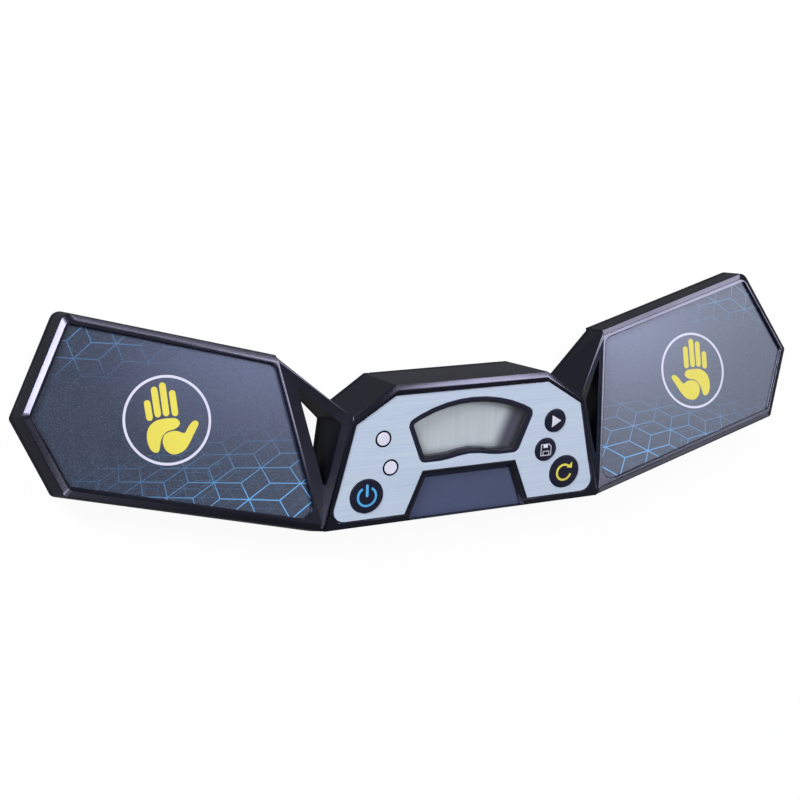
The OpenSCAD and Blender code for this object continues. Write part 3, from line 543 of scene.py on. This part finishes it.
# window: clear where it lies along the face, dark on its cut rim
windowLook = {"clear": srgb(236, 240, 242), "rim": srgb(30, 30, 44), "haze": 0.015}
n = Nodes("clearWindow")
facing = n.add("ShaderNodeVectorMath", operation="DOT_PRODUCT")
n.put(facing.inputs[0], n.add("ShaderNodeNewGeometry").outputs["Normal"])
tilt = math.radians(face["tilt"])
facing.inputs[1].default_value = (0, -math.sin(tilt), math.cos(tilt))
rim = n.spread(n.math("ABSOLUTE", facing.outputs["Value"]), 0.5, 0.8, 1.0, 0.0)
clearWindow = n.surface(n.blend(rim, windowLook["clear"], windowLook["rim"]),
                        n.spread(n.noise(200), 0.3, 0.7, 0.05, 0.10),
                        Alpha=n.spread(rim, 0, 1, windowLook["haze"], 1.0))
clearWindow.surface_render_method = "BLENDED"

# printed film of the touch pads, with a painted sheen over its tone; places in mm outwards from the middle
# of the case and backwards
padLook = {
    "shade": srgb(18, 28, 50), "mid": srgb(86, 92, 124), "drift": srgb(40, 54, 74),
    "grain": srgb(122, 132, 158), "speck": srgb(34, 40, 56), "line": srgb(98, 176, 238),
    "paintedSheenArea": (68, 24, 66, 46),  # centre and half sizes of the painted sheen, the lighter part
    # turns a place on the pad into steps along the two lattice ways of the cube pattern
    "lattice": ((0.106408, -0.038652, -9.352252), (0.081318, 0.139757, -2.714208),
                (-0.00277, -0.008893, 1.0)),
    "upper": ((0.1352, -0.0411, -15.64), (0.1110, 0.1449, -18.91), (0.0, 0.0, 1.0)),
    "fine": ((0.19, -0.071, -16.7), (0.148, 0.251, -5.1), (-0.00277, -0.008893, 1.0)),
    # where each of the three fades out, and how strong it is
    "latticeArea": (62, -36, 122, 38), "upperArea": (130, 36, 58, 24), "fineArea": (92, -24, 60, 24),
    "upperShare": 0.5, "fineShare": 0.36, "ink": 0.92,
    "lineHalf": 0.065, "fineHalf": 0.05,  # half a line's width
}


def cubeLines(n, x, y, rows, half):
    # 1 on the edges of a pattern of cubes drawn as rhombs, 0 elsewhere
    def row(r):
        return n.math("ADD", n.math("MULTIPLY_ADD", x, r[0], r[2]), n.math("MULTIPLY", y, r[1]))

    def family(across, cell, gap, skip):
        # lines where across is whole, without the stretches that would cut a rhomb in two
        nearest = n.math("ROUND", across)
        off = n.math("MULTIPLY", n.math("ABSOLUTE", n.math("SUBTRACT", across, nearest)), gap)
        line = n.spread(off, half, half + 0.13, 1.0, 0.0)
        order = n.math("FLOORED_MODULO", cell(nearest), 3.0)
        keep = n.math("GREATER_THAN", n.math("ABSOLUTE", n.math("SUBTRACT", order, skip)), 0.5)
        return n.math("MULTIPLY", line, keep)

    depth = row(rows[2])
    i, j = n.math("DIVIDE", row(rows[0]), depth), n.math("DIVIDE", row(rows[1]), depth)
    k = n.math("SUBTRACT", i, j)
    one = family(j, lambda r: n.math("ADD", n.math("FLOOR", i), r), 6.0, 1.0)
    two = family(i, lambda r: n.math("ADD", n.math("FLOOR", j), r), 8.2, 1.0)
    three = family(k, lambda r: n.math("MULTIPLY_ADD", n.math("FLOOR", j), 2.0, r), 5.2, 2.0)
    return n.math("MAXIMUM", n.math("MAXIMUM", one, two), three)


def nearPlace(n, x, y, area, most=1.0):
    # most at the area's centre, fading to 0 at its oval edge
    cx, cy, rx, ry = area
    dx = n.math("DIVIDE", n.math("SUBTRACT", x, cx), rx)
    dy = n.math("DIVIDE", n.math("SUBTRACT", y, cy), ry)
    far = n.math("SQRT", n.math("ADD", n.math("MULTIPLY", dx, dx), n.math("MULTIPLY", dy, dy)))
    return n.spread(far, 0.0, 1.0, most, 0.0, True)


def padFilm(name):
    n = Nodes(name)
    across, deep, _ = n.axes()
    x = n.math("MULTIPLY", n.math("ABSOLUTE", across), 1 / mm)
    y = n.math("MULTIPLY", deep, 1 / mm)
    grain = n.noise(3600, 2, 0.7)
    # painted sheen: lighter towards each pad's inner back, as if it were lit by the key lamp's gloss, and
    # darker away from there
    tone = n.blend(nearPlace(n, x, y, padLook["paintedSheenArea"]), padLook["shade"], padLook["mid"])
    tone = n.blend(n.spread(n.noise(28, 2), 0.3, 0.7, 0.0, 0.3), tone, padLook["drift"])
    tone = n.blend(n.spread(grain, 0.48, 0.70, 0.0, 0.36), tone, padLook["grain"])
    tone = n.blend(n.spread(n.noise(1500, 2, 0.6), 0.50, 0.72, 0.0, 0.32), tone, padLook["speck"])
    broken = n.spread(n.noise(120, 2), 0.38, 0.62, 0.25, 1.0)
    mainLines = n.math("MULTIPLY", cubeLines(n, x, y, padLook["lattice"], padLook["lineHalf"]),
                       nearPlace(n, x, y, padLook["latticeArea"], 1.3))
    upperLines = n.math("MULTIPLY", cubeLines(n, x, y, padLook["upper"], padLook["lineHalf"]),
                        nearPlace(n, x, y, padLook["upperArea"], 1.3))
    fineLines = n.math("MULTIPLY", cubeLines(n, x, y, padLook["fine"], padLook["fineHalf"]),
                       n.math("MULTIPLY", nearPlace(n, x, y, padLook["fineArea"]), padLook["fineShare"]))
    ink = n.math("MAXIMUM", mainLines, n.math("MULTIPLY", upperLines, padLook["upperShare"]))
    ink = n.math("MAXIMUM", ink, n.math("MULTIPLY", fineLines, broken))
    tone = n.blend(n.math("MULTIPLY", ink, padLook["ink"]), tone, padLook["line"])
    return n.surface(tone, n.spread(grain, 0.3, 0.7, 0.33, 0.45), n.bump(grain, 0.8, 0.04 * mm),
                     Specular_IOR_Level=1.0, Specular_Tint=(0.78, 0.85, 1.0, 1))


padSlate = padFilm("printedPadFilmAndSheen")
print("finishes made")

# each material slot of the CAD nodes takes its finish
finishOf = {
    "lcd_grey": lcdGrey, "clear_lens": clearWindow, "white_plastic": whitePlastic,
    "silicone_strip": stripPink, "board_green": boardGreen, "chip_black": chipBlack,
    "tinned_parts": tinnedParts, "led_body": ledBody, "switch_black": switchBlack,
    "plate_copper": plateCopper, "lead_red": leadRed, "socket_cream": socketCream,
    "cell_jacket": cellJacket, "spring_steel": springSteel, "contact_nickel": contactNickel,
    "lead_black": leadBlack, "screw_zinc": screwZinc, "foot_rubber": footRubber, "case_black": caseBlack,
    "case_black_base": baseBlack, "panel_silver": brushedPanel, "nameplate_slate": slateNameplate,
    "trim_navy": trimNavy, "lens_white": lensWhite, "button_navy": buttonNavy, "pad_slate": padSlate,
}
for node, obj in frame["nodes"].items():
    obj.data.materials.clear()
    obj.data.materials.append(finishOf[slotOf[node]])
print("CAD nodes finished")

# case, panel, trim, cover, feet, lenses and caps with rounded edges: the radius, how sharp an edge
# has to be in degrees, the bevel's steps, and the shortest edge that is rounded
softened = {
    "upper_shell": {"name": "upperCase", "finish": caseBlack, "radius": 0.32, "angle": 22, "steps": 2,
                    "shortest": 0.6},
    "lower_shell": {"name": "lowerCase", "finish": baseBlack, "radius": 0.25, "angle": 28, "steps": 2,
                    "shortest": 0.6},
    "console_panel": {"name": "facePanel", "finish": brushedPanel, "radius": 0.10, "angle": 30, "steps": 2,
                      "shortest": 0.1},
    "window_trim": {"name": "windowTrim", "finish": trimNavy, "radius": 0.16, "angle": 30, "steps": 2,
                    "shortest": 0.1},
    "battery_cover": {"name": "batteryCover", "finish": baseBlack, "radius": 0.15, "angle": 30, "steps": 2,
                      "shortest": 0.4, "body": "battery_cover"},
    "rubber_feet": {"name": "rubberFeet", "finish": footRubber, "radius": 0.35, "angle": 30, "steps": 2,
                    "shortest": 0.1},
    "status_lenses": {"name": "lightLenses", "finish": lensWhite, "radius": 0.12, "angle": 30, "steps": 2,
                      "shortest": 0.1},
    "power_button": {"name": "powerCap", "finish": buttonNavy, "radius": 0.22, "angle": 24, "steps": 3,
                     "shortest": 0.1, "body": "power_button"},
    "reset_button": {"name": "restartCap", "finish": buttonNavy, "radius": 0.22, "angle": 24, "steps": 3,
                     "shortest": 0.1, "body": "reset_button"},
    "play_button": {"name": "playCap", "finish": buttonNavy, "radius": 0.20, "angle": 24, "steps": 3,
                    "shortest": 0.1, "body": "play_button"},
    "save_button": {"name": "saveCap", "finish": buttonNavy, "radius": 0.20, "angle": 24, "steps": 3,
                    "shortest": 0.1, "body": "save_button"},
}
for node, look in softened.items():
    softenedCopy(node, look)

# icons laid on the caps' domes, in mm from each button's centre
cap = {"rise": 0.5, "dome": 0.25, "ink": 0.035, "sunk": 0.02}
icons = {
    "power_button": {"name": "powerIcon", "ink": iconBlue, "outlines": [
        bandOutline(0, 0, 3.3, 0.78, 120, 420), barOutline((0, 0.35), (0, 3.9), 0.95)]},
    "reset_button": {"name": "restartIcon", "ink": iconYellow, "outlines": [
        bandOutline(-0.3, -0.1, 2.85, 0.8, 50, 345), [(2.95, 3.5), (0.75, 1.6), (2.95, 1.2)]]},
    "play_button": {"name": "playIcon", "ink": iconWhite, "outlines": [
        [(-1.45, 2.2), (-1.45, -2.2), (2.25, 0.0)]]},
    "save_button": {"name": "saveIcon", "ink": iconWhite, "outlines": [
        *lineLoop([(-2.0, -2.05), (2.0, -2.05), (2.0, 1.15), (1.1, 2.05), (-2.0, 2.05)], 0.26),
        *lineLoop([(-1.15, -2.0), (1.15, -2.0), (1.15, -0.5), (-1.15, -0.5)], 0.22),
        [(-1.1, 0.8), (0.6, 0.8), (0.6, 1.95), (-1.1, 1.95)]]},
}


def iconPiece(button, icon):
    cx, cy, r = buttons[button]
    ball = (r * r + cap["dome"] ** 2) / (2 * cap["dome"])  # radius of the dome's ball
    place = faceToCase @ Matrix.Translation(Vector((cx, cy, cap["rise"] - cap["sunk"])) * mm)
    bm = bmesh.new()
    for outline in icon["outlines"]:
        joinInto(bm, outlineToPlate(outline, cap["ink"] + cap["sunk"], place, 2,
                                    lambda x, y: math.sqrt(ball * ball - x * x - y * y) - ball))
    printedPiece(bm, icon["name"], icon["ink"], button)


for button, icon in icons.items():
    iconPiece(button, icon)
print("icons made")

# ring and hand printed on the pads, in mm
padPrint = {"top": 12.3, "ink": 0.04, "sunk": 0.01, "ringAt": (102.7, 2.0), "ringRadius": 14.0,
            "ringWide": 0.85, "ringSteps": 96}
inkDeep = padPrint["ink"] + padPrint["sunk"]

# open hand inside the ring: x outwards from the ring's centre
hand = {
    "fingers": [((5.45, 5.85), (5.19, 1.35)), ((2.8, 9.9), (2.42, 2.2)), ((0.0, 11.05), (-0.31, 2.3)),
                ((-2.95, 8.35), (-3.22, 2.1))],
    "fingerWide": 2.15,
    "outwards": 0.5,
    "palm": [(-1.42, 0.54), (1.44, 0.5), (3.26, 0.11), (4.74, -0.76), (5.92, -2.08), (6.61, -4.13),
             (6.49, -6.95), (5.58, -9.12), (4.21, -9.92), (3.09, -9.3), (2.34, -6.55), (1.49, -4.87),
             (-0.04, -3.57), (-2.6, -3.06), (-4.1, -2.1), (-4.46, -1.08), (-3.55, 0.2)],
    "thumb": [(1.71, -6.6), (1.15, -4.89), (-0.19, -3.93), (-2.18, -3.6), (-3.58, -3.83), (-4.96, -4.46),
              (-5.85, -4.53), (-6.66, -3.36), (-7.85, -1.87), (-8.99, -1.07), (-10.06, -1.08),
              (-10.6, -1.89), (-10.07, -3.08), (-8.44, -5.59), (-6.99, -7.94), (-5.23, -9.92),
              (-3.37, -10.83), (-1.23, -11.03), (0.48, -10.02), (1.44, -8.55)],
}
handOutlines = ([barOutline(a, b, hand["fingerWide"]) for a, b in hand["fingers"]]
                + [smoothLoop(hand["palm"]), smoothLoop(hand["thumb"])])


def onPad(x, y):
    # from a flat drawing to its place on a pad's top
    return Matrix.Translation((x * mm, y * mm, (padPrint["top"] - padPrint["sunk"]) * mm))


def padPieces(side, sign):
    cx, cy = padPrint["ringAt"]
    inner = padPrint["ringRadius"] - padPrint["ringWide"] / 2
    outer = padPrint["ringRadius"] + padPrint["ringWide"] / 2
    ring = bmesh.new()
    bmesh.ops.create_circle(ring, segments=padPrint["ringSteps"], radius=inner * mm)
    made = bmesh.ops.extrude_edge_only(ring, edges=ring.edges[:])
    bmesh.ops.scale(ring, verts=movedVerts(made), vec=(outer / inner, outer / inner, 1))
    made = bmesh.ops.extrude_face_region(ring, geom=ring.faces[:])
    bmesh.ops.translate(ring, verts=movedVerts(made), vec=(0, 0, inkDeep * mm))
    bmesh.ops.transform(ring, matrix=onPad(sign * cx, cy), verts=ring.verts)
    printedPiece(ring, side + "PadRing", inkWhite, "case")
    handBm = bmesh.new()
    place = onPad(sign * (cx + hand["outwards"]), cy)
    for outline in handOutlines:
        joinInto(handBm, outlineToPlate([(sign * x, y) for x, y in outline], inkDeep, place))
    printedPiece(handBm, side + "PadHand", inkYellow, "case")


padPieces("left", -1)
padPieces("right", 1)
print("pad print made")
